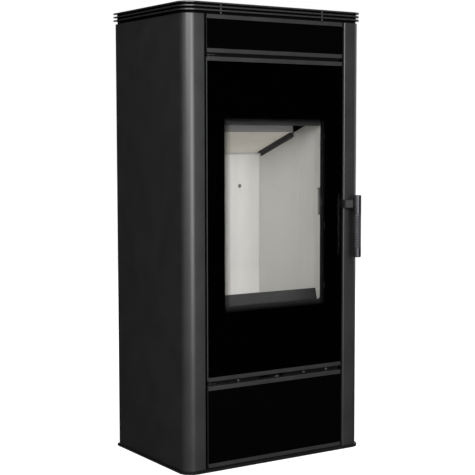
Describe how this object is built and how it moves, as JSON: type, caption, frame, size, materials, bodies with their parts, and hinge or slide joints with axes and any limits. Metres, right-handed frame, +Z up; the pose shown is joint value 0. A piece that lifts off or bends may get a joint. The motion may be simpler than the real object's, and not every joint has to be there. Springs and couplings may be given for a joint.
{
  "type": "freestanding wood stove",
  "caption": "Tall freestanding wood stove with a rounded steel casing, layered top, glass fire door with a side handle, storage door below and a lined firebox.",
  "frame": {"origin": "on the floor under the stove, midway between the side panels and midway between their front and rear faces", "axes": "+X to the right seen from the front, +Y to the back, +Z up"},
  "size_m": [0.524, 0.412, 1.102],
  "materials": {
    "casing_paint": "matt anthracite stove paint, fine powder texture",
    "black_paint": "matt black stove paint",
    "trim_paint": "matt anthracite stove paint on folded trim",
    "inner_steel": "heat-resistant dark grey paint on plate",
    "black_glass": "gloss black printed glass",
    "clear_glass": "clear glass ceramic",
    "black_enamel": "printed black enamel",
    "refractory": "matte pressed fireclay board",
    "cast_iron": "raw casting",
    "zinc_steel": "zinc-plated steel",
    "sheet_steel": "plain sheet steel",
    "handle_metal": "satin gunmetal finish",
    "glass_rope": "braided glass-fibre rope",
    "magnet_black": "moulded catch body"
  },
  "bodies": {
    "stove_body": {"base_plate": "casing_paint", "front_frame": "inner_steel", "frame_screws": "zinc_steel", "side_panel_left": "casing_paint", "side_panel_right": "casing_paint", "rear_cover": "black_paint", "top_deck": "black_paint", "top_plate_lower": "casing_paint", "top_plate_middle": "casing_paint", "top_plate_upper": "casing_paint", "top_spacer_lower": "black_paint", "top_spacer_upper": "black_paint", "top_standoffs": "zinc_steel", "compartment_box": "inner_steel", "compartment_ceiling": "inner_steel", "firebox_shell": "inner_steel", "hearth_plate": "inner_steel", "liner_floor": "refractory", "liner_back": "refractory", "liner_left_front": "refractory", "liner_left_rear": "refractory", "liner_right_front": "refractory", "liner_right_rear": "refractory", "baffle_board": "refractory", "baffle_rails": "inner_steel", "airwash_lintel": "inner_steel", "log_guard": "inner_steel", "grate": "cast_iron", "ash_pan": "sheet_steel", "air_duct": "sheet_steel", "flue_collar": "inner_steel", "air_inlet_spigot": "zinc_steel", "latch_keeper": "inner_steel", "hinge_brackets": "inner_steel", "hinge_pins": "zinc_steel", "hinge_washers": "zinc_steel", "magnet_catch": "magnet_black", "air_guides": "sheet_steel", "upper_panel_frame": "black_paint", "upper_panel_glass": "black_glass", "upper_panel_trims": "trim_paint"},
    "fire_door": {"door_frame": "black_paint", "door_glass": "clear_glass", "door_enamel_border": "black_enamel", "door_inner_glass": "clear_glass", "door_glass_clips": "zinc_steel", "door_rope_seal": "glass_rope", "door_trim_top": "trim_paint", "door_trim_bottom": "trim_paint", "latch_bearing": "sheet_steel"},
    "latch": {"latch_shaft": "zinc_steel", "latch_hook": "sheet_steel", "handle_arm": "handle_metal", "handle_bar": "handle_metal"},
    "lower_door": {"lower_door_frame": "black_paint", "lower_door_glass": "black_glass", "lower_door_trims": "trim_paint", "strike_plate": "zinc_steel"},
    "air_control": {"air_slide": "sheet_steel", "air_lever": "zinc_steel"}
  },
  "joints": [
    {"name": "fire_door_hinge", "type": "hinge", "parent": "stove_body", "child": "fire_door", "pos_m": [-0.188, -0.16, 0.597], "axis": [0, 0, -1], "range_deg": [0, 105]},
    {"name": "latch_turn", "type": "hinge", "parent": "fire_door", "child": "latch", "pos_m": [0.18, -0.16, 0.6255], "axis": [-1, 0, 0], "range_deg": [0, 30]},
    {"name": "lower_door_hinge", "type": "hinge", "parent": "stove_body", "child": "lower_door", "pos_m": [-0.188, -0.16, 0.1065], "axis": [0, 0, -1], "range_deg": [0, 105]},
    {"name": "air_control_slide", "type": "slide", "parent": "stove_body", "child": "air_control", "axis": [1, 0, 0], "range_m": [-0.03, 0.03]}
  ]
}
